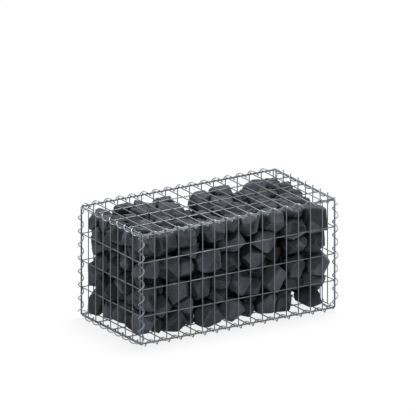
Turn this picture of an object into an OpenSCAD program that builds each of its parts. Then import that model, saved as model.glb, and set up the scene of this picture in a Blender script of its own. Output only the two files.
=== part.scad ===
// Stone-filled gabion basket: six welded mesh panels laced along every edge
// with spiral binders, and a fill of broken rock laid in courses.

/* [Basket] */
// Length of the basket between its outermost mesh wires
basket_length = 800; // [600:10:1000]
// Depth of the basket between its outermost mesh wires
basket_depth = 400; // [300:10:500]
// Height of the basket between its outermost mesh wires
basket_height = 400; // [300:10:500]

/* [Mesh] */
// Diameter of the mesh wire
wire_d = 4; // [3:0.1:5]
// Spacing of the short wires, which stand upright in the sides
wire_spacing = 50; // [40:1:65]
// Bays of the short wires to one bay of the long wires, which run along the sides
rail_step = 2; // [1:1:4]
// Depth that crossing wires are pressed into each other by the weld
weld_depth = 0.5; // [0.2:0.1:0.8]

/* [Spiral binders] */
// Diameter of the spiral wire
spiral_wire_d = 4; // [3:0.1:4.5]
// Free room in the coil beside the edge wires that it holds together
spiral_room = 0.3; // [0:0.1:3]
// Space between a spiral's end and the spirals that meet it at the corner
spiral_end_space = 3; // [1:1:20]

/* [Stones] */
// Size of an ordinary stone
stone_size = 86; // [70:1:110]
// Free space between the fill's highest stones and the lid
top_space = 8; // [0:1:200]
// Free space between the fill and the right end
end_space = 8; // [0:1:80]
// Facets broken on each stone, apart from where it bears on others
stone_facets = 10; // [8:1:14]
// Space left between two stones that bear on each other
stone_gap = 0.6; // [0.5:0.1:0.8]
// Number that sets how the stones lie
fill_seed = 7; // [1:1:99]

/* [Hidden] */
// Clearance between pieces that bear on each other
seat = 0.3;
wire_sides = 8;
wire_r = wire_d / 2;
// Radius to the corners of a wire's cross-section, whose flats lie at wire_r
wire_corner_r = wire_r / cos(180 / wire_sides);
// The long wires lie inside, and their ends meet at the corners with a clearance
rail_out = wire_r + seat + 1;
upright_out = rail_out + wire_d - weld_depth;
wire_end = 1;

spiral_sides = 4;
spiral_rings = 12;
spiral_wire_r = spiral_wire_d / 2;
// Radius of the coil, to the middle of its wire: both panels' edge uprights pass through it
spiral_r = upright_out / sqrt(2) + wire_corner_r + seat + spiral_room + spiral_wire_r;
// Radius to the ring corners, so that the chords between them lie at spiral_r
spiral_ring_r = spiral_r / cos(180 / spiral_rings);
// Distance of the coil's middle from the edge wires that it holds together
spiral_reach = spiral_r - spiral_wire_r - wire_corner_r - seat;

// Distance of a spiral's first and last turn from the basket's corner
spiral_end = spiral_r + 2 * spiral_wire_r - spiral_reach + spiral_end_space;
// Lean of the line from a rim coil's middle to the wire it bears on: long rims, end rims
rim_lean = [20, 40];

// Height of the base's edges over the lowest turns, on which the basket stands
foot = max(rim_middle(true)[1], rim_middle(false)[1]) + spiral_ring_r + spiral_wire_r;

// Inner faces of the fill's space: clear of the long wires by the seat
fill_wall = wire_r - rail_out + seat;
fill_height = basket_height - top_space;
course_count = max(1, round(fill_height / stone_size * 1.12));
section_names = ["left", "middle", "right"];
stone_r = stone_size * 0.6;
// Depth of the layer of stones laid by hand along the front, the left end and the top
laid_depth = stone_size * 0.95;
// Scale of their places, which are given for stones of 86 mm
laid_scale = stone_size / 86;
// Length, depth and height after which the same places come again
laid_repeat = [792, 400, 392] * laid_scale;
// How far the middles of the outer stones keep from the walls
stone_in = 14;
// Low places in the top of the fill: place along and across as a share, reach, depth
hollows = [[0.08, 1, 60, 10], [0.16, 1, 22, 24], [0.35, 1, 22, 24], [0.52, 1, 42, 80],
    [0.47, 0.8, 40, 36], [0.79, 1, 34, 56], [0.97, 1, 60, 12]];
// Stones in the hidden middle are set out by this share of their size: along, across, up
inner_spacing = [0.83, 0.86, 0.95];
// Cuts shallower than this are left out, so that no facet is a sliver
sliver = 0.2;
stone_grid = 0.1;

// Stones laid by hand, a row each. At the front: place along, height, in from the front, radius
front_stones = [
    // first course
    [30, 62, 50, 44], [84, 50, 68, 36], [158, 42, 46, 48], [236, 42, 72, 32], [292, 45, 46, 49],
    [350, 78, 78, 30], [396, 48, 46, 48], [470, 36, 60, 36], [486, 76, 68, 32], [540, 46, 48, 42],
    [606, 40, 48, 46], [640, 78, 66, 30], [728, 42, 50, 44], [758, 66, 96, 34],
    // second course
    [106, 104, 62, 42], [202, 102, 60, 46], [342, 112, 58, 34], [486, 112, 60, 38],
    [570, 140, 46, 48], [652, 110, 64, 38], [738, 102, 60, 42],
    // third course
    [46, 150, 46, 46], [95, 178, 76, 32], [167, 156, 46, 44], [263, 156, 48, 50], [350, 165, 48, 36],
    [430, 150, 50, 42], [490, 168, 72, 28], [662, 160, 50, 44], [756, 158, 46, 46],
    // fourth course
    [50, 256, 48, 42], [128, 252, 46, 48], [60, 208, 82, 34], [202, 240, 50, 45], [298, 250, 46, 50],
    [264, 206, 82, 30], [392, 226, 52, 40], [488, 232, 50, 47], [590, 216, 70, 30],
    [664, 254, 50, 42], [750, 240, 48, 42], [664, 206, 84, 28],
    // fifth course
    [48, 308, 70, 34], [222, 302, 56, 40], [352, 302, 60, 36], [416, 296, 54, 40], [530, 284, 48, 50],
    [598, 298, 84, 30], [652, 312, 48, 50],
    // top course
    [34, 356, 46, 40], [112, 350, 48, 52], [196, 350, 48, 43], [250, 362, 70, 32], [320, 354, 50, 48],
    [402, 362, 60, 38], [470, 350, 52, 45], [562, 352, 52, 48], [664, 360, 60, 44], [740, 340, 44, 50]
];
// At the left end: place across, height, in from the end, radius
left_stones = [
    [125, 36, 50, 38], [140, 84, 56, 34], [200, 58, 54, 38], [262, 44, 50, 40], [354, 50, 50, 48],
    [124, 118, 64, 36], [212, 122, 62, 32], [256, 116, 56, 36], [312, 120, 48, 42],
    [112, 152, 76, 28], [168, 174, 50, 40], [361, 162, 48, 50], [268, 178, 66, 30],
    [96, 218, 62, 40], [226, 212, 50, 42], [318, 212, 56, 42], [258, 246, 66, 32],
    [156, 262, 48, 42], [350, 268, 54, 44], [112, 300, 62, 38],
    [250, 308, 54, 44], [346, 306, 50, 42], [128, 354, 60, 42], [206, 344, 54, 44],
    [268, 362, 62, 34], [308, 354, 52, 38]
];
// On top: place along, place across, down from the top of the fill, radius
top_stones = [
    [54, 372, 42, 46], [112, 270, 50, 44], [162, 374, 42, 46], [172, 300, 48, 44], [234, 372, 44, 42],
    [228, 262, 46, 36], [296, 300, 46, 48], [326, 372, 42, 44], [372, 318, 46, 42], [410, 376, 46, 44],
    [430, 275, 48, 42], [505, 288, 44, 46], [474, 366, 42, 48], [550, 366, 42, 48], [572, 300, 54, 38],
    [624, 300, 50, 40], [632, 372, 46, 38], [672, 288, 48, 38], [700, 372, 42, 48], [720, 296, 56, 40],
    [766, 290, 44, 44], [766, 366, 42, 42],
    [125, 182, 48, 46], [204, 186, 50, 44], [284, 190, 44, 46], [356, 182, 48, 46], [440, 206, 48, 46],
    [512, 190, 46, 40], [566, 214, 56, 36], [618, 200, 44, 44], [672, 188, 48, 38], [722, 202, 46, 40],
    [766, 212, 44, 44], [168, 116, 60, 42], [250, 118, 46, 42], [320, 112, 54, 40], [386, 126, 50, 38],
    [450, 130, 56, 40], [522, 118, 50, 42], [600, 122, 48, 46], [676, 118, 54, 38], [740, 130, 48, 44]
];

corner_names = ["front_left", "front_right", "back_left", "back_right"];
// One row a corner: side along X, side along Y, height of the coil's outermost point
corners = [[0, 0, 6], [1, 0, -8], [0, 1, 7], [1, 1, -6]];
rim_names = ["front", "back", "left", "right"];
// One row a rim: along X or not, far side or not, place of the coil's outermost point
base_rims = [[true, 0, 6], [true, 1, -5], [false, 0, 5], [false, 1, -4]];
lid_rims = [[true, 0, 6], [true, 1, 5], [false, 0, 2], [false, 1, 4]];

stone_names = [for (c = [1:course_count]) for (s = section_names) str("stones_course_", c, "_", s)];

function bays(span) = rail_step * max(1, round(span / (wire_spacing * rail_step)));
function pitch(span) = span / bays(span);
function unit(v) = v / norm(v);

// ---- welded mesh ----

// A straight wire along X from the origin
module wire(span) {
    rotate([0, 90, 0])
        rotate([0, 0, 180 / wire_sides])
            cylinder(r = wire_corner_r, h = span, $fn = wire_sides);
}

// A flat panel in X and Y, with its outer side up
module mesh_panel(width, height) {
    color([0.62, 0.64, 0.66]) union() {
        for (i = [0:bays(width)])
            translate([i * pitch(width), -wire_end, upright_out])
                rotate([0, 0, 90])
                    wire(height + 2 * wire_end);
        for (k = [0:rail_step:bays(height)])
            translate([-wire_end, k * pitch(height), rail_out])
                wire(width + 2 * wire_end);
    }
}

module panel_front() {
    rotate([90, 0, 0]) mesh_panel(basket_length, basket_height);
}

module panel_back() {
    translate([0, basket_depth, 0]) mirror([0, 1, 0]) panel_front();
}

module panel_left() {
    translate([0, basket_depth, 0]) rotate([90, 0, -90]) mesh_panel(basket_depth, basket_height);
}

module panel_right() {
    translate([basket_length, 0, 0]) mirror([1, 0, 0]) panel_left();
}

module panel_lid() {
    translate([0, 0, basket_height]) mesh_panel(basket_length, basket_depth);
}

module panel_base() {
    mirror([0, 0, 1]) mesh_panel(basket_length, basket_depth);
}

// ---- spiral binders ----

// How far a corner coil's middle lies out from the edge, on both sides, so that the edge
// uprights of both panels bear on the inside of the coil
function corner_out() =
    (upright_out + sqrt(max(0, 2 * pow(spiral_reach, 2) - pow(upright_out, 2)))) / 2;

// A rim coil's middle, as [out from the side, up from the lid or down from the base], so that
// the edge wire of the lid or the base bears on the inside of the coil
function rim_middle(along_x) =
    let (lean = along_x ? rim_lean[0] : rim_lean[1], wire_out = along_x ? rail_out : upright_out)
    [spiral_reach * cos(lean), wire_out - spiral_reach * sin(lean)];

// Rings of a right-handed coil along its own third axis, which is at the angle start_angle
// where the length is start_at. Rings lie at whole steps of the angle, so that one of them is
// always the coil's lowest point.
function coil_rings(from, to, lead, start_angle, start_at) =
    let (
        step = 360 / spiral_rings,
        slope = atan2(lead, 2 * PI * spiral_r),
        first = ceil(((from - start_at) * 360 / lead + start_angle) / step),
        last = floor(((to - start_at) * 360 / lead + start_angle) / step)
    )
    [for (s = [first:last])
        let (
            a = s * step,
            w = start_at + (a - start_angle) * lead / 360,
            radial = [cos(a), sin(a), 0],
            side = [sin(a) * sin(slope), -cos(a) * sin(slope), cos(slope)]
        )
        [for (k = [0:spiral_sides - 1])
            let (b = 180 + 360 * k / spiral_sides)
            [0, 0, w] + radial * (spiral_ring_r + spiral_wire_r * cos(b)) + side * spiral_wire_r * sin(b)]
    ];

// A solid swept through rings of points, each ring with the same number of points
module swept(rings) {
    n = len(rings[0]);
    last = (len(rings) - 1) * n;
    points = [for (ring = rings) for (p = ring) p];
    sides = [for (s = [0:len(rings) - 2]) for (k = [0:n - 1])
        let (a = s * n + k, b = s * n + (k + 1) % n)
        each [[a, b, a + n], [b, b + n, a + n]]];
    polyhedron(
        points = points,
        faces = concat(sides, [[for (k = [n - 1:-1:0]) k]], [[for (k = [0:n - 1]) last + k]]),
        convexity = 10
    );
}

module upright_spiral(corner) {
    out = corner_out();
    middle = [
        corner[0] == 0 ? -out : basket_length + out,
        corner[1] == 0 ? -out : basket_depth + out,
        0
    ];
    outward = atan2(corner[1] - 0.5, corner[0] - 0.5);
    rings = coil_rings(
        spiral_end, basket_height - spiral_end, pitch(basket_height), outward, corner[2]);
    color([0.62, 0.64, 0.66]) swept([for (ring = rings) [for (p = ring) p + middle]]);
}

// A spiral along the rim of the base or the lid; top is 0 or 1
module rim_spiral(rim, top) {
    along_x = rim[0];
    span = along_x ? basket_length : basket_depth;
    middle = rim_middle(along_x);
    height = top == 0 ? -middle[1] : basket_height + middle[1];
    across = rim[1] == 0 ? -middle[0] : (along_x ? basket_depth : basket_length) + middle[0];
    side_sign = rim[1] - 0.5;
    outward = along_x ? atan2(top - 0.5, side_sign) : atan2(side_sign, top - 0.5);
    rings = coil_rings(spiral_end, span - spiral_end, pitch(span), outward, rim[2]);
    color([0.62, 0.64, 0.66]) swept([for (ring = rings) [for (p = ring)
        along_x ? [p.z, across + p.x, height + p.y] : [across + p.y, p.z, height + p.x]]]);
}

// ---- stones ----

function noise(key, count) = rands(-1, 1, count, fill_seed * 1000 + key);

// How high the fill reaches
function fill_top(x, y) =
    fill_height - sum([for (h = hollows)
        let (away = norm([x - h[0] * basket_length, y - h[1] * basket_depth]) / h[2])
        h[3] * exp(-away * away)]);

// Stones laid by hand, as far as the basket reaches, as [x, y, z, radius, key]
function laid_stones() =
    let (
        k = laid_scale,
        again = [for (m = [0:2]) floor([basket_length, basket_depth, fill_height][m] / laid_repeat[m])],
        all = concat(
            [for (a = [0:again.x]) for (c = [0:again.z]) for (s = front_stones)
                [a * laid_repeat.x + s[0] * k, s[2] * k, c * laid_repeat.z + s[1] * k, s[3] * k]],
            [for (b = [0:again.y]) for (c = [0:again.z]) for (s = left_stones)
                [s[2] * k, b * laid_repeat.y + s[0] * k, c * laid_repeat.z + s[1] * k, s[3] * k]],
            [for (a = [0:again.x]) for (b = [0:again.y]) for (s = top_stones)
                let (x = a * laid_repeat.x + s[0] * k, y = b * laid_repeat.y + s[1] * k)
                [x, y, fill_top(x, y) - s[2] * k, s[3] * k]]
        )
    )
    [for (i = [0:len(all) - 1])
        let (s = all[i])
        if (s[0] < basket_length - end_space - stone_in && s[1] < basket_depth - stone_in)
        if (s[2] < fill_top(s[0], s[1]) - stone_in) [s[0], s[1], s[2], s[3], i]];

// Stones tipped in behind them, on a staggered grid
function tipped_stones() =
    let (
        low = [laid_depth, laid_depth, 0],
        span = [basket_length - end_space, basket_depth, fill_height - laid_depth] - low,
        count = [for (k = [0:2]) max(1, round(span[k] / stone_size * inner_spacing[k]))]
    )
    [for (c = [0:count[2] - 1]) for (j = [0:count[1] - 1]) for (i = [0:count[0] - 1])
        let (
            key = 1000 + (c * count[1] + j) * count[0] + i,
            r = noise(key, 4),
            stagger = c % 2 == 0 ? 0.2 : -0.2,
            lift = (i + j) % 2 == 0 ? 0.16 : -0.16,
            x = low.x + (i + 0.5 + stagger * (1 - j % 2 * 2) * 0.8 + r[0] * 0.24) * span.x / count[0],
            y = low.y + (j + 0.5 + stagger * 0.6 + r[1] * 0.24) * span.y / count[1],
            z = (c + 0.5 + lift + r[2] * 0.2) / count[2] * (fill_top(x, y) - laid_depth)
        )
        [x, y, z, stone_r * (1.04 + 0.12 * r[3]), key]
    ];

function stone_seeds() = concat(laid_stones(), tipped_stones());

function place(seed) = [seed[0], seed[1], seed[2]];

// The part of a face on the inner side of the plane n * p = d
function clip_face(face, n, d) =
    [for (i = [0:len(face) - 1])
        let (a = face[i], b = face[(i + 1) % len(face)], da = n * a - d, db = n * b - d)
        each concat(da <= 0 ? [a] : [], da * db < 0 ? [a + (b - a) * (da / (da - db))] : [])];

function sorted(list) =
    len(list) < 2 ? list :
    let (mid = list[floor(len(list) / 2)][0])
    concat(
        sorted([for (e = list) if (e[0] < mid) e]),
        [for (e = list) if (e[0] == mid) e],
        sorted([for (e = list) if (e[0] > mid) e])
    );

// The face that closes a cut: its rim points in order, clockwise from outside
function cap(rim, n) =
    let (
        centre = mean(rim),
        u = unit(rim[0] - centre),
        v = cross(n, u),
        turn = sorted([for (p = rim) [atan2((p - centre) * v, (p - centre) * u), p]]),
        last = len(turn) - 1
    )
    [for (i = [last:-1:0])
        if (turn[i][0] - (i == 0 ? turn[last][0] - 360 : turn[i - 1][0]) > 0.001) turn[i][1]];

function mean(points) = [for (k = [0:2]) sum([for (p = points) p[k]]) / len(points)];
function sum(list) = list * [for (e = list) 1];

function clip(faces, n, d) =
    let (reach = max([for (f = faces) for (p = f) n * p]))
    reach < d + sliver ? faces :
    let (
        kept = [for (f = faces) let (g = clip_face(f, n, d)) if (len(g) > 2) g],
        rim = [for (g = kept) for (p = g) if (abs(n * p - d) < 0.000001) p]
    )
    len(rim) < 6 ? kept : concat(kept, [cap(rim, n)]);

function clip_all(faces, planes, i = 0) =
    i == len(planes) || len(faces) == 0 ? faces
    : clip_all(clip(faces, planes[i][0], planes[i][1]), planes, i + 1);

// Faces of a cube about a point, each clockwise from outside
function block(p, half) =
    let (c = [for (z = [-1, 1]) for (y = [-1, 1]) for (x = [-1, 1]) p + half * [x, y, z]])
    [for (f = [[0, 1, 3, 2], [4, 6, 7, 5], [0, 4, 5, 1], [2, 3, 7, 6], [0, 2, 6, 4], [1, 5, 7, 3]])
        [for (k = f) c[k]]];

// Planes of the broken facets: spread all round, each at its own distance
function facet_planes(seed) =
    let (
        r = noise(5000 + seed[4] * 7, 4 * stone_facets + 5),
        long_axis = unit([r[0], r[1], r[2] * 0.6]),
        spin = r[3] * 180
    )
    [for (m = [0:stone_facets - 1])
        let (
            z = 1 - (2 * m + 1) / stone_facets,
            a = m * 137.508 + spin,
            q = 5 + 4 * m,
            n = unit([
                cos(a) * sqrt(1 - z * z) + 0.3 * r[q],
                sin(a) * sqrt(1 - z * z) + 0.3 * r[q + 1],
                z + 0.3 * r[q + 2]
            ]),
            reach = seed[3] * (0.95 + 0.1 * r[q + 3] + 0.3 * (pow(n * long_axis, 2) - 0.33))
        )
        [n, n * place(seed) + reach]
    ];

// Planes half-way to each neighbour, nearer to the smaller stone
function neighbour_planes(seed, seeds) =
    [for (other = seeds)
        let (gap = place(other) - place(seed), span = norm(gap))
        if (span > 0.001 && span < 3.6 * stone_r)
        let (
            n = gap / span,
            share = (span * span + pow(seed[3], 2) - pow(other[3], 2)) / (2 * span)
        )
        [n, n * place(seed) + share - stone_gap / 2]
    ];

// Planes of the basket's inside, and of the edges where the coils reach in
function wall_planes() =
    let (
        size = [basket_length, basket_depth, basket_height],
        in_by = min(2 * corner_out(), sum(concat(rim_middle(true), 0)), sum(concat(rim_middle(false), 0))),
        coil_in = spiral_ring_r + spiral_wire_r + seat - in_by / sqrt(2),
        flats = [for (k = [0:2]) for (side = [-1, 1])
            let (n = [for (m = [0:2]) m == k ? side : 0])
            [n, side < 0 ? -fill_wall : size[k] - fill_wall]],
        edges = [for (k = [0:2]) for (a = [-1, 1]) for (b = [-1, 1])
            let (
                n = unit([for (m = [0:2]) m == k ? 0 : m == (k + 1) % 3 ? a : b]),
                corner = [for (m = [0:2]) n[m] > 0 ? size[m] : 0]
            )
            [n, n * corner - coil_in]]
    )
    concat(flats, edges);

// Planes at a slant to the walls, so that a stone turns an edge or a corner to a wall rather
// than a flat side, and the one on top that ends the fill
function slant_planes(seed) =
    let (
        p = place(seed),
        r = noise(9000 + seed[4] * 3, 18),
        walls = [[-fill_wall, basket_length - fill_wall], [-fill_wall, basket_depth - fill_wall],
            [-fill_wall, fill_top(p.x, p.y)]]
    )
    [for (k = [0:2]) for (side = [0, 1])
        let (
            q = 3 * (2 * k + side),
            n = unit([for (m = [0:2]) m == k ? side * 2 - 1 : 0.2 * r[q + m]]),
            foot_point = [for (m = [0:2]) m == k ? walls[k][side] : p[m]]
        )
        [n, n * foot_point - stone_size * 0.03 * (1 + r[q + k])]
    ];

function stone_faces(seed, seeds) =
    clip_all(
        block(place(seed), 1.7 * stone_r),
        concat(facet_planes(seed), neighbour_planes(seed, seeds), slant_planes(seed), wall_planes())
    );

function snapped(p) = [for (e = p) round(e / stone_grid) * stone_grid];

function index_of(p, list) = [for (i = [0:len(list) - 1]) if (list[i] == p) i][0];

function unique(list) = [for (i = [0:len(list) - 1]) if (index_of(list[i], list) == i) list[i]];

function empty(tri, points) =
    len(tri) == 3 && norm(cross(points[tri[1]] - points[tri[0]], points[tri[2]] - points[tri[0]])) < 0.001;

// Faces without the triangles whose corners lie in line: the face along the longest side of such
// a triangle takes its middle corner
function without_empty(faces, points) =
    let (
        empties = [for (f = faces) if (empty(f, points))
            let (long = [for (k = [0:2]) norm(points[f[(k + 1) % 3]] - points[f[k]])])
            [f, index_of(max(long), long)]]
    )
    [for (f = faces) if (!empty(f, points))
        [for (i = [0:len(f) - 1])
            each concat([f[i]], [for (e = empties)
                let (tri = e[0], k = e[1])
                if (tri[(k + 1) % 3] == f[i] && tri[k] == f[(i + 1) % len(f)]) tri[(k + 2) % 3]])]];

// The face begun at the corner from which a fan of triangles has the fattest ones, so that none
// of them is empty where three corners lie in line
function fanned(face, points) =
    let (
        n = len(face),
        corner = [for (i = [0:2 * n - 1]) points[face[i % n]]],
        least = [for (s = [0:n - 1])
            min([for (i = [s + 1:s + n - 2]) norm(cross(corner[i] - corner[s], corner[i + 1] - corner[s]))])],
        first = index_of(max(least), least)
    )
    [for (i = [0:n - 1]) face[(first + i) % n]];

// A stone as [points, faces], its points snapped to a fine grid and shared by its faces
function stone_mesh(faces) =
    let (
        points = unique([for (f = faces) for (p = f) snapped(p)]),
        shared = [for (f = faces) [for (p = f) index_of(snapped(p), points)]],
        clean = [for (f = shared) [for (i = [0:len(f) - 1]) if (f[i] != f[(i + 1) % len(f)]) f[i]]],
        kept = without_empty([for (f = clean) if (len(f) > 2) f], points)
    )
    [points, [for (f = kept) fanned(f, points)]];

// Sums of the list's entries before each one
function running_total(list, i = 0, total = 0) =
    i == len(list) ? [] : concat([total], running_total(list, i + 1, total + list[i]));

// Which third of the length and which course a stone lies in
function section_of(seed) = min(2, floor(seed[0] / basket_length * 3));
function course_of(seed) = max(0, min(course_count - 1, floor(seed[2] / fill_height * course_count)));

module stones(course, section) {
    seeds = stone_seeds();
    meshes = [for (s = seeds)
        if (course_of(s) == course && section_of(s) == section) stone_mesh(stone_faces(s, seeds))];
    starts = running_total([for (m = meshes) len(m[0])]);
    color([0.24, 0.25, 0.27])
        polyhedron(
            points = [for (m = meshes) each m[0]],
            faces = [for (i = [0:len(meshes) - 1]) for (f = meshes[i][1]) [for (k = f) starts[i] + k]],
            convexity = 10
        );
}

// Puts the origin under the middle of the basket, on the surface that it stands on
module placed() {
    translate([-basket_length / 2, -basket_depth / 2, foot]) children();
}

placed() panel_front();
placed() panel_back();
placed() panel_left();
placed() panel_right();
placed() panel_base();
placed() panel_lid();
for (i = [0:3]) {
    placed() upright_spiral(corners[i]);
    placed() rim_spiral(base_rims[i], 0);
    placed() rim_spiral(lid_rims[i], 1);
}
for (c = [0:course_count - 1]) for (s = [0:2])
    placed() stones(c, s);
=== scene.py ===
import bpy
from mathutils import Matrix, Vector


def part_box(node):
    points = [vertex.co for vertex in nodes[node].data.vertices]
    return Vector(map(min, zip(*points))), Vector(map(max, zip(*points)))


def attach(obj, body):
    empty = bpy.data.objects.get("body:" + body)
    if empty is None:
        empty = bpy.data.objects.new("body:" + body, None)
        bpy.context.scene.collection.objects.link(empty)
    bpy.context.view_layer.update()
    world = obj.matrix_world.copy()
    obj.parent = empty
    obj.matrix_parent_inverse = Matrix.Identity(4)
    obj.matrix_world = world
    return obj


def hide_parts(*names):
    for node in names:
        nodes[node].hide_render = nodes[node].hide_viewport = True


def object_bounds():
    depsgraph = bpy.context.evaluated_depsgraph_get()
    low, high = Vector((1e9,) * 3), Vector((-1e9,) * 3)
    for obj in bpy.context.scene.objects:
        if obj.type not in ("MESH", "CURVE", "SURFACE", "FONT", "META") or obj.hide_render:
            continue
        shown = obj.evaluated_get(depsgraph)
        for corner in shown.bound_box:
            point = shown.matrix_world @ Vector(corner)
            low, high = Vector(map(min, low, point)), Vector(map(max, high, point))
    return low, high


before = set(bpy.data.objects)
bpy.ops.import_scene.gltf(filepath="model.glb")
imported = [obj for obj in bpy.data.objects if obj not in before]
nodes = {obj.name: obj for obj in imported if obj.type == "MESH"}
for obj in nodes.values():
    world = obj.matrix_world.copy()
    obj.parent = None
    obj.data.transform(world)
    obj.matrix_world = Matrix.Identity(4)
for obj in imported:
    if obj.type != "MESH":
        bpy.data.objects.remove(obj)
cadBox = [list(corner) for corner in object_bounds()]

import math

import bpy
import numpy as np
from mathutils import Vector, noise

scene = bpy.context.scene
mm = 0.001
noiseLow, noiseHigh = 0.3, 0.7  # nearly all of a noise texture's values lie between these


def linear(hexColour):  # sRGB hex such as 8c9296 to the linear colour that shaders take
    channels = [int(hexColour[i:i + 2], 16) / 255 for i in (0, 2, 4)]
    return [c / 12.92 if c <= 0.04045 else ((c + 0.055) / 1.055) ** 2.4 for c in channels] + [1]


def addNode(tree, kind, values=None, links=None, **settings):
    node = tree.nodes.new(kind)
    for name, value in settings.items():
        setattr(node, name, value)
    for name, value in (values or {}).items():
        node.inputs[name].default_value = value
    for name, (source, output) in (links or {}).items():
        tree.links.new(source.outputs[output], node.inputs[name])
    return node


def newMaterial(name):
    material = bpy.data.materials.new(name)
    material.use_nodes = True
    material.node_tree.nodes.clear()
    return material, material.node_tree


def noiseSpot(start, step, counts):  # a place in the noise that no other count shares
    return Vector([first + count * apart for first, apart, count in zip(start, step, counts)])


def newPiece(name, points, faces, material, replaced):
    mesh = bpy.data.meshes.new(name)
    mesh.from_pydata([tuple(p) for p in points], [], [tuple(f) for f in faces])
    mesh.polygons.foreach_set("use_smooth", [True] * len(mesh.polygons))
    mesh.materials.append(material)
    mesh.update()
    piece = bpy.data.objects.new(name, mesh)
    scene.collection.objects.link(piece)
    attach(piece, "root")
    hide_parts(*replaced)
    return piece


# The camera looks at the basket from its left front corner, a little from above, with no
# perspective
shot = {
    "azimuth": -31.65,  # degrees round from the front
    "elevation": 18,
    "frameWidth": 1.479,  # metres across the view
    "aimBelowTop": 33 * mm,
    "distance": 4,
    "farthest": 30,  # metres that the view reaches
}


def setCamera():
    azimuth, elevation = math.radians(shot["azimuth"]), math.radians(shot["elevation"])
    back = Vector((
        math.sin(azimuth) * math.cos(elevation),
        -math.cos(azimuth) * math.cos(elevation),
        math.sin(elevation),
    ))
    data = bpy.data.cameras.new("camera")
    data.type = "ORTHO"
    data.ortho_scale = shot["frameWidth"]
    data.clip_end = shot["farthest"]
    camera = bpy.data.objects.new("camera", data)
    scene.collection.objects.link(camera)
    aim = Vector((0, 0, cadBox[1][2] - shot["aimBelowTop"]))
    camera.location = aim + back * shot["distance"]
    camera.rotation_mode = "QUATERNION"
    camera.rotation_quaternion = (-back).to_track_quat("-Z", "Y")
    scene.camera = camera


setCamera()
print("camera set")


# Hot-dip galvanised steel wire: drawn steel with a dull zinc skin. It gives the eye a mid
# grey with soft broad highlights and a slightly patchy sheen. The spirals are coiled from
# smoother wire, so that they are brighter than the mesh.
zinc = {
    "mesh": {"colour": "848a90", "darkColour": "676d73", "roughness": 0.5},
    "spiral": {"colour": "a6abb0", "darkColour": "888e94", "roughness": 0.42},
    "patch": 9 * mm,  # clouds in the zinc
    "smoother": 0.08,  # how far the clouds lower the roughness
    "rougher": 0.1,
    "drag": 2.2 * mm,  # drag marks, drawn coarser than the real ones so that they show
    "dragDepth": 0.15 * mm,
    "dragStrength": 0.25,
}


def makeZincWire(name, finish):
    material, tree = newMaterial(name)
    place = addNode(tree, "ShaderNodeTexCoord")
    patches = addNode(
        tree, "ShaderNodeTexNoise", {"Scale": 1 / zinc["patch"], "Detail": 4, "Roughness": 0.6},
        {"Vector": (place, "Object")})
    marks = addNode(
        tree, "ShaderNodeTexNoise", {"Scale": 1 / zinc["drag"], "Detail": 2},
        {"Vector": (place, "Object")})
    tone = addNode(
        tree, "ShaderNodeMix", {"A": linear(finish["darkColour"]), "B": linear(finish["colour"])},
        data_type="RGBA")
    tree.links.new(patches.outputs["Fac"], tone.inputs["Factor"])
    rough = addNode(
        tree, "ShaderNodeMapRange",
        {"From Min": noiseLow, "From Max": noiseHigh,
         "To Min": finish["roughness"] - zinc["smoother"],
         "To Max": finish["roughness"] + zinc["rougher"]},
        {"Value": (patches, "Fac")})
    bump = addNode(
        tree, "ShaderNodeBump",
        {"Strength": zinc["dragStrength"], "Distance": zinc["dragDepth"]},
        {"Height": (marks, "Fac")})
    shader = addNode(tree, "ShaderNodeBsdfPrincipled", {"Metallic": 1})
    tree.links.new(tone.outputs[2], shader.inputs["Base Color"])
    tree.links.new(rough.outputs["Result"], shader.inputs["Roughness"])
    tree.links.new(bump.outputs["Normal"], shader.inputs["Normal"])
    addNode(tree, "ShaderNodeOutputMaterial", links={"Surface": (shader, "BSDF")})
    return material


# Crushed basalt: a dense volcanic stone, split by a crusher. It gives the eye dull anthracite
# faces with a fine grain, each stone a shade apart from the next, and paler where edges are
# bruised. Painted shade darkens the upper faces, in patches, and the stones deep in the fill and
# in the gaps between them.
basalt = {
    "darkColour": "101116",
    "colour": "5c5e67",
    "shadeRange": 0.6,  # how far the shade swings to either side; less makes it starker
    "bruiseColour": "6e7178",
    "bruise": 0.7,  # how far the edges go towards the bruise colour
    # painted shade on the upper faces
    "topShadeColour": "17191d",
    "topShade": 0.9,  # how far the upper faces go towards the painted shade colour
    # painted shade deep in the fill and in the gaps between stones
    "paintedShadeColour": "040405",
    "paintedShade": 0.93,  # how dark the painted shade makes stones deep in the fill and in gaps
    "roughness": 0.8,
    "roughnessRange": 0.1,
    "cloud": 38 * mm,
    "grain": 3 * mm,  # crystal grain, drawn coarser than the real millimetre so that it shows
    "grainDepth": 0.8 * mm,
    "grainStrength": 0.6,
    "mottle": 6 * mm,  # pores and specks, also drawn coarser than the real ones
    "mottleSpread": 1.2,
    "chip": 9 * mm,
    "chipDepth": 1.8 * mm,
    "chipStrength": 0.8,
}


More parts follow.
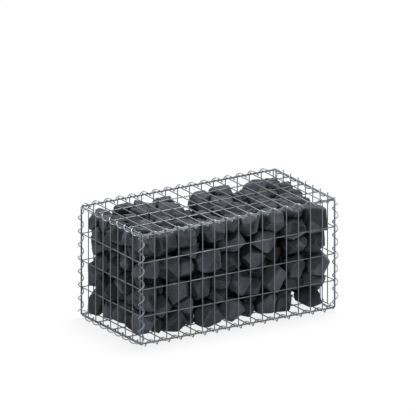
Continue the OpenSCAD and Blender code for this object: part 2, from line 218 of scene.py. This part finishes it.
def makeBasalt():
    material, tree = newMaterial("crushedBasalt")
    place = addNode(tree, "ShaderNodeTexCoord")
    stoneTone = addNode(tree, "ShaderNodeAttribute", attribute_name="stoneTone")
    bruise = addNode(tree, "ShaderNodeAttribute", attribute_name="bruise")
    # painted shade on the upper faces
    topShade = addNode(tree, "ShaderNodeAttribute", attribute_name="topShade")
    # painted shade deep in the fill and in the gaps between stones
    paintedShade = addNode(tree, "ShaderNodeAttribute", attribute_name="paintedShade")
    clouds = addNode(
        tree, "ShaderNodeTexNoise", {"Scale": 1 / basalt["cloud"], "Detail": 5, "Roughness": 0.6},
        {"Vector": (place, "Object")})
    grain = addNode(
        tree, "ShaderNodeTexNoise", {"Scale": 1 / basalt["grain"], "Detail": 3, "Roughness": 0.7},
        {"Vector": (place, "Object")})
    chips = addNode(
        tree, "ShaderNodeTexNoise", {"Scale": 1 / basalt["chip"], "Detail": 4, "Roughness": 0.65},
        {"Vector": (place, "Object")})
    specks = addNode(
        tree, "ShaderNodeTexNoise",
        {"Scale": 1 / basalt["mottle"], "Detail": 2, "Roughness": 0.7},
        {"Vector": (place, "Object")})
    shade = addNode(
        tree, "ShaderNodeMath", {}, {0: (stoneTone, "Fac"), 1: (clouds, "Fac")},
        operation="ADD")
    mottled = addNode(
        tree, "ShaderNodeMath", {1: basalt["mottleSpread"]},
        {0: (specks, "Fac"), 2: (shade, "Value")}, operation="MULTIPLY_ADD")
    middle = 0.5 + 0.5 + 0.5 * basalt["mottleSpread"]  # of stone tone, clouds and specks together
    spread = addNode(
        tree, "ShaderNodeMapRange",
        {"From Min": middle - basalt["shadeRange"], "From Max": middle + basalt["shadeRange"]},
        {"Value": (mottled, "Value")})
    body = addNode(
        tree, "ShaderNodeMix", {"A": linear(basalt["darkColour"]), "B": linear(basalt["colour"])},
        data_type="RGBA")
    tree.links.new(spread.outputs["Result"], body.inputs["Factor"])
    bruised = addNode(
        tree, "ShaderNodeMath", {}, {0: (bruise, "Fac"), 1: (chips, "Fac")},
        operation="MULTIPLY")
    bruisedShare = addNode(
        tree, "ShaderNodeMath", {1: basalt["bruise"]}, {0: (bruised, "Value")},
        operation="MULTIPLY")
    edges = addNode(
        tree, "ShaderNodeMix", {"B": linear(basalt["bruiseColour"])}, data_type="RGBA")
    tree.links.new(body.outputs[2], edges.inputs["A"])
    tree.links.new(bruisedShare.outputs["Value"], edges.inputs["Factor"])
    # Painted shade on the upper faces
    topShadeShare = addNode(
        tree, "ShaderNodeMath", {1: basalt["topShade"]}, {0: (topShade, "Fac")}, operation="MULTIPLY")
    topShaded = addNode(
        tree, "ShaderNodeMix", {"B": linear(basalt["topShadeColour"])}, data_type="RGBA")
    tree.links.new(edges.outputs[2], topShaded.inputs["A"])
    tree.links.new(topShadeShare.outputs["Value"], topShaded.inputs["Factor"])
    # Painted shade deep in the fill and in the gaps between stones
    paintedShadeShare = addNode(
        tree, "ShaderNodeMath", {1: basalt["paintedShade"]}, {0: (paintedShade, "Fac")}, operation="MULTIPLY")
    shadedDeep = addNode(
        tree, "ShaderNodeMix", {"B": linear(basalt["paintedShadeColour"])}, data_type="RGBA")
    tree.links.new(topShaded.outputs[2], shadedDeep.inputs["A"])
    tree.links.new(paintedShadeShare.outputs["Value"], shadedDeep.inputs["Factor"])
    rough = addNode(
        tree, "ShaderNodeMapRange",
        {"From Min": noiseLow, "From Max": noiseHigh,
         "To Min": basalt["roughness"] - basalt["roughnessRange"],
         "To Max": basalt["roughness"] + basalt["roughnessRange"]},
        {"Value": (chips, "Fac")})
    chipBump = addNode(
        tree, "ShaderNodeBump",
        {"Strength": basalt["chipStrength"], "Distance": basalt["chipDepth"]},
        {"Height": (chips, "Fac")})
    grainBump = addNode(
        tree, "ShaderNodeBump",
        {"Strength": basalt["grainStrength"], "Distance": basalt["grainDepth"]},
        {"Height": (grain, "Fac"), "Normal": (chipBump, "Normal")})
    shader = addNode(tree, "ShaderNodeBsdfPrincipled", {"Metallic": 0})
    tree.links.new(shadedDeep.outputs[2], shader.inputs["Base Color"])
    tree.links.new(rough.outputs["Result"], shader.inputs["Roughness"])
    tree.links.new(grainBump.outputs["Normal"], shader.inputs["Normal"])
    addNode(tree, "ShaderNodeOutputMaterial", links={"Surface": (shader, "BSDF")})
    return material


meshWire = makeZincWire("galvanisedMeshWire", zinc["mesh"])
spiralWire = makeZincWire("galvanisedSpiralWire", zinc["spiral"])
crushedBasalt = makeBasalt()
print("materials made")


# Round wires, as rings of points along a line
wire = {
    "radius": 2 * mm,
    "sides": 12,
    "cutEdge": 0.35 * mm,  # the sheared ends are a little rounded
    "spacing": 50 * mm,  # of the short wires
    "railSpacing": 100 * mm,  # of the long wires
    "pastCrossing": 1 * mm,  # the wires end this far past the last crossing
}


def addTube(points, faces, path):
    radius, sides, cut = wire["radius"], wire["sides"], wire["cutEdge"]
    end = len(path) - 1
    along = [(path[min(i + 1, end)] - path[max(i - 1, 0)]).normalized() for i in range(end + 1)]
    side = along[0].orthogonal().normalized()
    rings = [(path[0], along[0], radius - cut)]
    rings += [(p, t, radius) for p, t in zip(path, along)]
    rings[1] = (path[0] + along[0] * cut, along[0], radius)
    rings[-1] = (path[-1] - along[-1] * cut, along[-1], radius)
    rings.append((path[-1], along[-1], radius - cut))
    start = len(points)
    for centre, direction, size in rings:
        side = (side - direction * side.dot(direction)).normalized()
        other = direction.cross(side)
        for k in range(sides):
            angle = 2 * math.pi * k / sides
            points.append(centre + (side * math.cos(angle) + other * math.sin(angle)) * size)
    for r in range(len(rings) - 1):
        for k in range(sides):
            a, b = start + r * sides + k, start + r * sides + (k + 1) % sides
            faces.append((a, b, b + sides, a + sides))
    last = start + (len(rings) - 1) * sides
    faces.append(tuple(start + k for k in reversed(range(sides))))
    faces.append(tuple(last + k for k in range(sides)))


# Welded mesh: long wires inside, short wires outside, fused with a small collar of zinc at
# every crossing
weld = {
    "width": 2.75 * mm,
    "height": 1.7 * mm,
    "segments": 10,
    "rings": 5,
    "uneven": 0.12,  # how far the collars differ in size
}
panelSides = {  # each panel's axis through its thickness, and whether it faces up that axis
    "front": (1, False),
    "back": (1, True),
    "left": (0, False),
    "right": (0, True),
    "base": (2, False),
    "lid": (2, True),
}


def addWeld(points, faces, centre, normal, sizeShare):
    side = normal.orthogonal().normalized()
    other = normal.cross(side)
    count, start = weld["segments"], len(points)
    points.append(centre - normal * weld["height"] * sizeShare)
    for r in range(1, weld["rings"]):
        tilt = math.pi * r / weld["rings"]
        for k in range(count):
            angle = 2 * math.pi * k / count
            out = (side * math.cos(angle) + other * math.sin(angle)) * math.sin(tilt)
            down = normal * math.cos(tilt) * weld["height"]
            points.append(centre + (out * weld["width"] - down) * sizeShare)
    points.append(centre + normal * weld["height"] * sizeShare)
    for k in range(count):
        after = (k + 1) % count
        faces.append((start, start + 1 + after, start + 1 + k))
        top = start + 1 + (weld["rings"] - 2) * count
        faces.append((top + k, top + after, start + 1 + (weld["rings"] - 1) * count))
        for r in range(weld["rings"] - 2):
            a = start + 1 + r * count
            faces.append((a + k, a + after, a + count + after, a + count + k))


def makePanel(name, axis, facesUp):
    low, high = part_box("panel_" + name)
    radius = wire["radius"]
    longAxis, shortAxis = [(1, 2), (0, 2), (0, 1)][axis]  # along the long and the short wires
    inner, outer = low[axis] + radius, high[axis] - radius
    if not facesUp:
        inner, outer = outer, inner
    span = [low[longAxis] + radius, high[longAxis] - radius]
    rise = [low[shortAxis] + radius, high[shortAxis] - radius]
    shortCount = round((span[1] - span[0]) / wire["spacing"])
    longCount = round((rise[1] - rise[0]) / wire["railSpacing"])
    shortPlaces = [span[0] + (span[1] - span[0]) * i / shortCount for i in range(shortCount + 1)]
    longPlaces = [rise[0] + (rise[1] - rise[0]) * i / longCount for i in range(longCount + 1)]
    past = wire["pastCrossing"]

    def spot(along, up, level):
        p = Vector((0, 0, 0))
        p[longAxis], p[shortAxis], p[axis] = along, up, level
        return p

    points, faces = [], []
    for along in shortPlaces:
        path = [spot(along, rise[0] - past, outer), spot(along, rise[1] + past, outer)]
        addTube(points, faces, path)
    for up in longPlaces:
        path = [spot(span[0] - past, up, inner), spot(span[1] + past, up, inner)]
        addTube(points, faces, path)
    normal = spot(0, 0, 1)
    for i, along in enumerate(shortPlaces):
        for k, up in enumerate(longPlaces):
            swell = noise.noise(noiseSpot((0, 0, 0), (3.7, 5.3, 9.1), (i, k, axis)))
            crossing = spot(along, up, (inner + outer) / 2)
            addWeld(points, faces, crossing, normal, 1 + weld["uneven"] * swell)
    newPiece("mesh_" + name, points, faces, meshWire, ["panel_" + name])


for name, (axis, facesUp) in panelSides.items():
    makePanel(name, axis, facesUp)
print("welded mesh made")


# Spiral binders: right-handed coils, one turn to a bay of the mesh
coil = {
    "stepsPerTurn": 30,
    "cadCorners": 12,  # corners in a turn of the CAD coil, whose chords the round one keeps to
    "longer": 4 * mm,  # the ends run this far past the CAD coil's
}


def makeSpiral(node, axis):
    low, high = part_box(node)
    across = [k for k in range(3) if k != axis]
    if axis == 1:
        across.reverse()  # so that the three axes turn the same way round
    centre = [(low[k] + high[k]) / 2 for k in across]
    outerRadius = (high[across[0]] - low[across[0]]) / 2
    radius = (outerRadius - wire["radius"]) * math.cos(math.pi / coil["cadCorners"])
    lead = wire["spacing"]
    cadPoints = np.array([v.co for v in nodes[node].data.vertices])
    angle = np.arctan2(cadPoints[:, across[1]] - centre[1], cadPoints[:, across[0]] - centre[0])
    start = np.angle(np.mean(np.exp(1j * (angle - 2 * math.pi * cadPoints[:, axis] / lead))))
    first, last = low[axis] - coil["longer"], high[axis] + coil["longer"]
    count = round((last - first) / lead * coil["stepsPerTurn"])
    path = []
    for i in range(count + 1):
        along = first + (last - first) * i / count
        turn = start + 2 * math.pi * along / lead
        p = Vector((0, 0, 0))
        p[axis] = along
        p[across[0]] = centre[0] + radius * math.cos(turn)
        p[across[1]] = centre[1] + radius * math.sin(turn)
        path.append(p)
    points, faces = [], []
    addTube(points, faces, path)
    binder = node.replace("spiral", "binder")
    newPiece(binder, points, faces, spiralWire, [node])


for end in ("front_left", "front_right", "back_left", "back_right"):
    makeSpiral("corner_spiral_" + end, 2)
for level in ("base", "lid"):
    for side, axis in (("front", 0), ("back", 0), ("left", 1), ("right", 1)):
        makeSpiral(level + "_spiral_" + side, axis)
print("spiral binders made")


# Stones: every CAD stone is worn and roughened inside its own facets, so that it keeps clear
# of its neighbours
stone = {
    "outerFineness": 15,  # triangles along an edge of the starting solid, for stones that show
    "innerFineness": 8,
    "sharpness": (70, 170),  # the higher, the crisper the edges
    "sharpSize": 30 * mm,  # over which the edges turn from crisp to blunt
    "sharpRange": 0.9,  # how strongly they do
    "edgeFrom": 0.9,  # where a face turns into edge, on a scale that is 1 on the edge itself
    "breaks": 8,  # extra flats where corners have broken off
    "breakDepth": (0.04, 0.22),  # how deep they cut, as a share of the stone
    "breakSeed": 1000,
    "smallestFlat": 1 * mm * mm,  # a smaller flat of a CAD stone is left out
    "sameFlat": (0.9976, 1 * mm),  # flats within 4 degrees and a millimetre count as one
    "samePoint": 0.02 * mm,  # corners closer than this are one corner
    "hollow": 2.2 * mm,  # depth of the shallow dips in the broken faces
    "hollowSize": 26 * mm,
    "ripple": 1.1 * mm,  # depth of the small ripples all over
    "rippleSize": 8 * mm,
    "chip": 3.4 * mm,  # depth of the chips along the edges
    "chipSize": 13 * mm,
    "chipContrast": 2.2,
    "chipFrom": 0.3,  # less of this makes more chips
    "toneSpread": 2.6,  # how far stones differ in tone
    "facetSpread": 1.8,  # how far the faces of one stone differ
    # Spots in the front, in mm from its lower left corner, whose stones are paler or darker
    "paleAt": [(245, 290), (135, 255), (650, 310), (300, 250), (400, 285), (610, 175)],
    "darkAt": [(260, 165), (195, 250), (440, 170), (560, 90), (700, 250), (120, 60), (640, 390)],
    "markedBy": 0.45,
    "topShadeSize": 24 * mm,  # patches in the painted shade on the upper faces
    "topShadeEven": 0.7,  # share of the painted shade that lies everywhere
    "topShadePatchy": 0.6,
    "paintedShadeFrom": 14 * mm,  # the fill gets painted shade from this depth down
    "paintedShadeOver": 44 * mm,
    "crevice": 9 * mm,  # gaps narrower than this get painted shade
    "neighbourReach": 160 * mm,  # stones whose middles are further apart than this don't touch
    "showDepth": 70 * mm,  # stones whose middles lie deeper than this in the fill don't show
}


def roundBall(fineness):  # an even ball of triangles
    golden = (1 + math.sqrt(5)) / 2
    corners = [Vector(c).normalized() for c in (
        (-1, golden, 0), (1, golden, 0), (-1, -golden, 0), (1, -golden, 0),
        (0, -1, golden), (0, 1, golden), (0, -1, -golden), (0, 1, -golden),
        (golden, 0, -1), (golden, 0, 1), (-golden, 0, -1), (-golden, 0, 1))]
    sides = [(0, 11, 5), (0, 5, 1), (0, 1, 7), (0, 7, 10), (0, 10, 11), (1, 5, 9), (5, 11, 4),
             (11, 10, 2), (10, 7, 6), (7, 1, 8), (3, 9, 4), (3, 4, 2), (3, 2, 6), (3, 6, 8),
             (3, 8, 9), (4, 9, 5), (2, 4, 11), (6, 2, 10), (8, 6, 7), (9, 8, 1)]
    places, points, faces = {}, [], []

    def pointAt(p):
        key = tuple(round(c, 5) for c in p)
        if key not in places:
            places[key] = len(points)
            points.append(p)
        return places[key]

    for a, b, c in sides:
        rows = []
        for i in range(fineness + 1):
            rows.append([pointAt((
                corners[a] * (fineness - i) + corners[b] * (i - j) + corners[c] * j).normalized())
                for j in range(i + 1)])
        for i in range(fineness):
            for j in range(i + 1):
                faces.append((rows[i][j], rows[i + 1][j], rows[i + 1][j + 1]))
                if j < i:
                    faces.append((rows[i][j], rows[i + 1][j + 1], rows[i][j + 1]))
    return np.array(points), np.array(faces)


def looseStones(node):  # the triangles of each separate stone in a CAD node
    mesh = nodes[node].data
    mesh.calc_loop_triangles()
    spots = np.array([v.co for v in mesh.vertices])
    triangles = np.array([t.vertices for t in mesh.loop_triangles])
    grid = np.round(spots / stone["samePoint"]).astype(int)
    shared = np.unique(grid, axis=0, return_inverse=True)[1].reshape(-1)
    label = np.arange(shared.max() + 1)
    while True:
        lowest = label[shared[triangles]].min(axis=1)
        before = label.copy()
        for corner in range(3):
            np.minimum.at(label, shared[triangles[:, corner]], lowest)
        if (label == before).all():
            break
    group = label[shared[triangles[:, 0]]]
    return [spots[triangles[group == g]] for g in np.unique(group)]


def facetPlanes(corners, centre):  # each flat of a stone, with its distance from the centre
    normals = np.cross(corners[:, 1] - corners[:, 0], corners[:, 2] - corners[:, 0])
    areas = np.linalg.norm(normals, axis=1) / 2
    turned, apart = stone["sameFlat"]
    kept = []
    for i in np.argsort(-areas):
        if areas[i] < stone["smallestFlat"]:
            break
        n = normals[i] / (2 * areas[i])
        reach = n @ (corners[i].mean(axis=0) - centre)
        if all(n @ m < turned or abs(reach - r) > apart for m, r in kept):
            kept.append((n, reach))
    return np.array([n for n, _ in kept]), np.array([r for _, r in kept])


def brokenCorners(corners, centre, key):  # flats at even random angles that cut off a little each
    draw = np.random.default_rng(stone["breakSeed"] + key)
    normals = draw.normal(size=(stone["breaks"], 3))
    normals /= np.linalg.norm(normals, axis=1)[:, None]
    support = ((corners.reshape(-1, 3) - centre) @ normals.T).max(axis=0)
    return normals, support * (1 - draw.uniform(*stone["breakDepth"], stone["breaks"]))


def noiseAt(points, size, shift):
    return np.array([noise.noise(Vector(p) / size + shift) for p in points])


def middleOf(corners):  # the middle of a stone's volume
    # Each triangle and the origin make a tetrahedron, whose middle is 3/4 of the way out
    weights = np.einsum("ij,ij->i", corners[:, 0], np.cross(corners[:, 1], corners[:, 2]))
    return (corners.mean(axis=1) * 3 / 4 * weights[:, None]).sum(axis=0) / weights.sum()


def creviceShadeAt(points, centre, key):  # painted shade in the gaps: 1 against another stone, 0 clear of them all
    gap = np.full(len(points), stone["crevice"])
    for other, (middle, normals, reaches) in enumerate(allStones):
        if other != key and np.linalg.norm(middle - centre) < stone["neighbourReach"]:
            gap = np.minimum(gap, ((points - middle) @ normals.T - reaches).max(axis=1))
    return 1 - np.clip(gap / stone["crevice"], 0, 1)


def wornStone(corners, directions, key):
    centre, normals, reaches = allStones[key]
    breakNormals, breakReaches = brokenCorners(corners, centre, key)
    normals = np.concatenate([normals, breakNormals])
    reaches = np.concatenate([reaches, breakReaches])
    shift = noiseSpot((0, 0, 0), (1.7, 0.9, -1.3), (key, key, key))

    # How far the stone reaches in each direction, with its edges rounded by the sharpness
    slope = np.maximum(directions @ normals.T, 0) / reaches
    largest = slope.max(axis=1)
    rough = centre + directions / largest[:, None]
    low, high = stone["sharpness"]
    crisp = (0.5 + stone["sharpRange"] * noiseAt(rough, stone["sharpSize"], shift)).clip(0, 1)
    sharp = low + (high - low) * crisp
    shares = (slope / largest[:, None]) ** sharp[:, None]
    reach = 1 / (largest * shares.sum(axis=1) ** (1 / sharp))

    # Its surface, dented inwards only
    second = np.partition(slope, -2, axis=1)[:, -2]
    toEdge = (second / largest - stone["edgeFrom"]) / (1 - stone["edgeFrom"])
    edge = np.clip(toEdge, 0, 1)  # 1 on an edge, 0 inside a face
    dips = stone["hollow"] * (0.5 + 0.5 * noiseAt(rough, stone["hollowSize"], shift))
    ripples = stone["ripple"] * np.abs(noiseAt(rough, stone["rippleSize"], shift))
    chipped = noiseAt(rough, stone["chipSize"], -shift) * stone["chipContrast"]
    chips = stone["chip"] * edge * np.clip(chipped - stone["chipFrom"], 0, 1)
    points = centre + directions * (reach - dips - ripples - chips)[:, None]

    # What colours it: a face tone, and painted shade on top, deep in the fill and in the gaps
    facet = slope.argmax(axis=1)
    facetTone = np.array([
        noise.noise(shift + noiseSpot((0, 0.4, 0), (2.3, 0, 1.9), (f, f, f)))
        for f in range(len(reaches))])
    # Painted shade on the upper faces, in patches
    patches = noiseAt(rough, stone["topShadeSize"], shift)
    topShade = normals[facet, 2].clip(0, 1) * (stone["topShadeEven"] + stone["topShadePatchy"] * patches)
    # Painted shade deep in the fill and against its neighbours
    deep = np.minimum(points - np.array(fillLow), np.array(fillHigh) - points).min(axis=1)
    paintedShade = np.clip((deep - stone["paintedShadeFrom"]) / stone["paintedShadeOver"], 0, 1)
    paintedShade = np.maximum(paintedShade, creviceShadeAt(points, centre, key))
    return points, edge, facetTone[facet], topShade.clip(0, 1), paintedShade


def markOf(corners):  # 1 for a stone marked as pale, -1 for a dark one, 0 for the rest
    low, high = corners.min(axis=(0, 1)), corners.max(axis=(0, 1))
    if low[1] > fillLow[1] + stone["showDepth"] / 2:
        return 0
    left, _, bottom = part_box("panel_front")[0]
    for mark, spots in ((1, stone["paleAt"]), (-1, stone["darkAt"])):
        for x, z in spots:
            if low[0] < left + x * mm < high[0] and low[2] < bottom + z * mm < high[2]:
                return mark
    return 0


outerBall, innerBall = roundBall(stone["outerFineness"]), roundBall(stone["innerFineness"])
courses = [node for node in sorted(nodes) if node.startswith("stones")]
fillLow = Vector([min(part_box(node)[0][k] for node in courses) for k in range(3)])
fillHigh = Vector([max(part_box(node)[1][k] for node in courses) for k in range(3)])
fill = {node: looseStones(node) for node in courses}
allStones = []  # each one's middle, and its flats with their distances from it
for corners in (c for stones in fill.values() for c in stones):
    allStones.append((middleOf(corners), *facetPlanes(corners, middleOf(corners))))
stoneCount = 0
for node, stones in fill.items():
    points, faces = [], []
    # stoneTone and bruise are the stone's own colour; the other two are painted shade
    looks = {"stoneTone": [], "bruise": [], "topShade": [], "paintedShade": []}
    for corners in stones:
        middle = corners.reshape(-1, 3).mean(axis=0)
        depth = min(min(middle[k] - fillLow[k], fillHigh[k] - middle[k]) for k in range(3))
        directions, triangles = outerBall if depth < stone["showDepth"] else innerBall
        worn, edge, facetTone, topShade, paintedShade = wornStone(corners, directions, stoneCount)
        faces.append(triangles + sum(len(p) for p in points))
        points.append(worn)
        swing = noise.noise(noiseSpot((0.37, 4.1, 7.7), (2.31, 0, 0), (stoneCount, 0, 0)))
        tone = 0.5 + stone["toneSpread"] * swing + stone["markedBy"] * markOf(corners)
        looks["stoneTone"].append(np.clip(tone + stone["facetSpread"] * facetTone, 0, 1))
        looks["bruise"].append(edge)
        looks["topShade"].append(topShade)
        looks["paintedShade"].append(paintedShade)
        stoneCount += 1
    rock = newPiece(
        node.replace("stones", "rock"), np.concatenate(points), np.concatenate(faces).tolist(),
        crushedBasalt, [node])
    for name, values in looks.items():
        layer = rock.data.attributes.new(name, "FLOAT", "POINT")
        layer.data.foreach_set("value", np.concatenate(values).astype(np.float32))
print("stones made:", stoneCount)


# White floor that keeps the basket's shadow, and a white sky
studio = {
    "floorColour": "d4d4d4",
    "floorHalf": 12,  # metres from its middle to its edge
    "floorWhite": 0.86,  # share of plain white in the floor as the camera sees it
    "skyLight": 0.25,
    "keyPower": 4.4,
    "keySize": 25,  # degrees that the key light is wide
    "keyFrom": (0.2, 0.14, 1.0),
}


def seenDirectly(tree):  # 1 for the camera, reflections and glass, 0 for the light on things
    path = addNode(tree, "ShaderNodeLightPath")
    glossy = addNode(
        tree, "ShaderNodeMath", {}, {0: (path, "Is Camera Ray"), 1: (path, "Is Glossy Ray")},
        operation="MAXIMUM")
    return addNode(
        tree, "ShaderNodeMath", {}, {0: (glossy, "Value"), 1: (path, "Is Transmission Ray")},
        operation="MAXIMUM")


def makeFloor():
    material, tree = newMaterial("paleFloor")
    matt = addNode(tree, "ShaderNodeBsdfDiffuse", {"Color": linear(studio["floorColour"])})
    white = addNode(tree, "ShaderNodeEmission", {"Color": (1, 1, 1, 1), "Strength": 1})
    share = addNode(
        tree, "ShaderNodeMath", {1: studio["floorWhite"]}, {0: (seenDirectly(tree), "Value")},
        operation="MULTIPLY")
    both = addNode(
        tree, "ShaderNodeMixShader", {},
        {0: (share, "Value"), 1: (matt, "BSDF"), 2: (white, "Emission")})
    addNode(tree, "ShaderNodeOutputMaterial", links={"Surface": (both, "Shader")})
    mesh = bpy.data.meshes.new("floor")
    half = studio["floorHalf"]
    corners = [(-half, -half, 0), (half, -half, 0), (half, half, 0), (-half, half, 0)]
    mesh.from_pydata(corners, [], [(0, 1, 2, 3)])
    mesh.materials.append(material)
    floor = bpy.data.objects.new("floor", mesh)
    scene.collection.objects.link(floor)


def makeSky():
    world = bpy.data.worlds.new("paleSky")
    scene.world = world
    world.use_nodes = True
    tree = world.node_tree
    tree.nodes.clear()
    strength = addNode(
        tree, "ShaderNodeMapRange", {"To Min": studio["skyLight"], "To Max": 1},
        {"Value": (seenDirectly(tree), "Value")})
    sky = addNode(
        tree, "ShaderNodeBackground", {"Color": (1, 1, 1, 1)},
        {"Strength": (strength, "Result")})
    addNode(tree, "ShaderNodeOutputWorld", links={"Surface": (sky, "Background")})


def makeKeyLight():
    data = bpy.data.lights.new("key", "SUN")
    data.energy = studio["keyPower"]
    data.angle = math.radians(studio["keySize"])
    key = bpy.data.objects.new("key", data)
    key.rotation_mode = "QUATERNION"
    key.rotation_quaternion = Vector(studio["keyFrom"]).to_track_quat("Z", "Y")
    scene.collection.objects.link(key)


makeFloor()
makeSky()
makeKeyLight()
scene.view_settings.view_transform = "Standard"
print("studio made")
